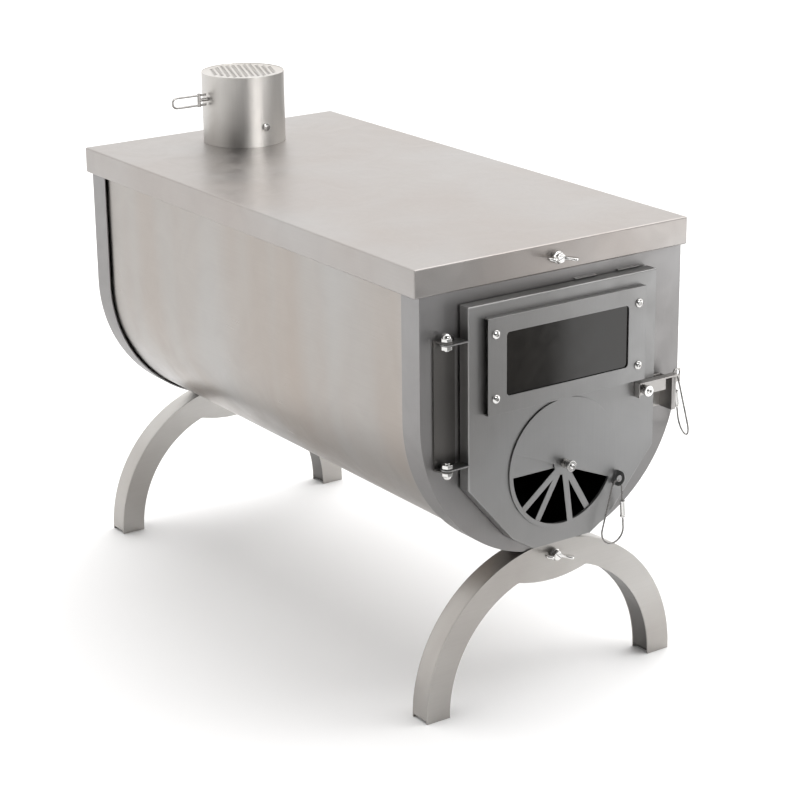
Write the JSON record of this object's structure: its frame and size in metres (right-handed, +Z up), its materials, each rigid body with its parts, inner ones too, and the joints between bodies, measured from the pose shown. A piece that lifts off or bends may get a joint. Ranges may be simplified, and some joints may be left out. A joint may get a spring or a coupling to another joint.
{
  "type": "tent wood stove",
  "caption": "Portable sheet metal tent stove: U shaped firebox under a flat cooking lid, arched legs, hinged door with glass window and rotary air disc, drop latch, flue stub with damper.",
  "frame": {"origin": "bottom centre of the overall box, on the floor between the two legs", "axes": "+X to the right seen from the door, +Y from the door to the rear along the firebox, +Z up"},
  "size_m": [0.22, 0.462, 0.3613],
  "materials": {
    "lid_sheet": "fine matte brushed, light warm grey",
    "plate_sheet": "satin brushed",
    "side_sheet": "satin rolled sheet, slightly warm",
    "leg_sheet": "satin brushed",
    "door_sheet": "satin brushed",
    "flue_sheet": "bright satin rolled sheet",
    "bright_fastener": "bright polished steel",
    "spring_wire": "drawn spring wire",
    "cable": "thin steel cable",
    "dark_glass": "dark ceramic glass"
  },
  "bodies": {
    "stove": {"lid": "lid_sheet", "front_plate": "plate_sheet", "rear_plate": "plate_sheet", "side_sheet": "side_sheet", "front_leg_face": "leg_sheet", "front_leg_back": "leg_sheet", "front_leg_outer_strip": "leg_sheet", "front_leg_inner_strip": "leg_sheet", "rear_leg_face": "leg_sheet", "rear_leg_back": "leg_sheet", "rear_leg_outer_strip": "leg_sheet", "rear_leg_inner_strip": "leg_sheet", "lid_wing_bolts": "bright_fastener", "lid_bolt_nuts": "bright_fastener", "leg_wing_bolts": "bright_fastener", "leg_bolt_nuts": "bright_fastener", "hinge_bracket": "plate_sheet", "hinge_bolts": "bright_fastener", "hinge_acorn_nuts": "bright_fastener", "hinge_lock_nuts": "bright_fastener", "keeper": "plate_sheet", "flue_collar": "flue_sheet", "flue_sleeve": "flue_sheet", "spark_screen": "flue_sheet", "flue_screw": "bright_fastener"},
    "door": {"door_pan": "door_sheet", "window_cover": "door_sheet", "window_glass": "dark_glass", "window_screws": "bright_fastener", "window_nuts": "bright_fastener", "disc_bolt": "bright_fastener", "disc_spring": "spring_wire", "disc_nut": "bright_fastener", "latch_bolt": "bright_fastener", "latch_spring": "spring_wire", "latch_nut": "bright_fastener"},
    "disc": {"air_disc": "door_sheet"},
    "disc_ring": {"disc_ring": "cable", "disc_ring_barrel": "bright_fastener"},
    "latch": {"latch_arm": "plate_sheet"},
    "latch_ring": {"latch_ring": "cable", "latch_ring_barrel": "bright_fastener"},
    "damper": {"damper_spindle": "bright_fastener", "damper_plate": "flue_sheet"}
  },
  "joints": [
    {"name": "door_swing", "type": "hinge", "parent": "stove", "child": "door", "pos_m": [-0.09, -0.21528, 0.218], "axis": [0, 0, -1], "range_deg": [0, 150]},
    {"name": "disc_turn", "type": "hinge", "parent": "door", "child": "disc", "pos_m": [0, -0.21998, 0.163], "axis": [0, 1, 0], "range_deg": [-22.3, 157.7]},
    {"name": "disc_ring_swing", "type": "hinge", "parent": "disc", "child": "disc_ring", "pos_m": [0.04111, -0.22498, 0.13879], "axis": [0, 1, 0], "range_deg": [-65, 100]},
    {"name": "latch_lift", "type": "hinge", "parent": "door", "child": "latch", "pos_m": [0.064, -0.22008, 0.2015], "axis": [0, -1, 0], "range_deg": [0, 30]},
    {"name": "latch_ring_swing", "type": "hinge", "parent": "latch", "child": "latch_ring", "pos_m": [0.095, -0.22008, 0.20156], "axis": [-0.9254, 0.3368, -0.1736], "range_deg": [-8, 60]},
    {"name": "damper_turn", "type": "hinge", "parent": "stove", "child": "damper", "pos_m": [0, 0.17082, 0.3433], "axis": [1, 0, 0], "range_deg": [0, 90]}
  ]
}
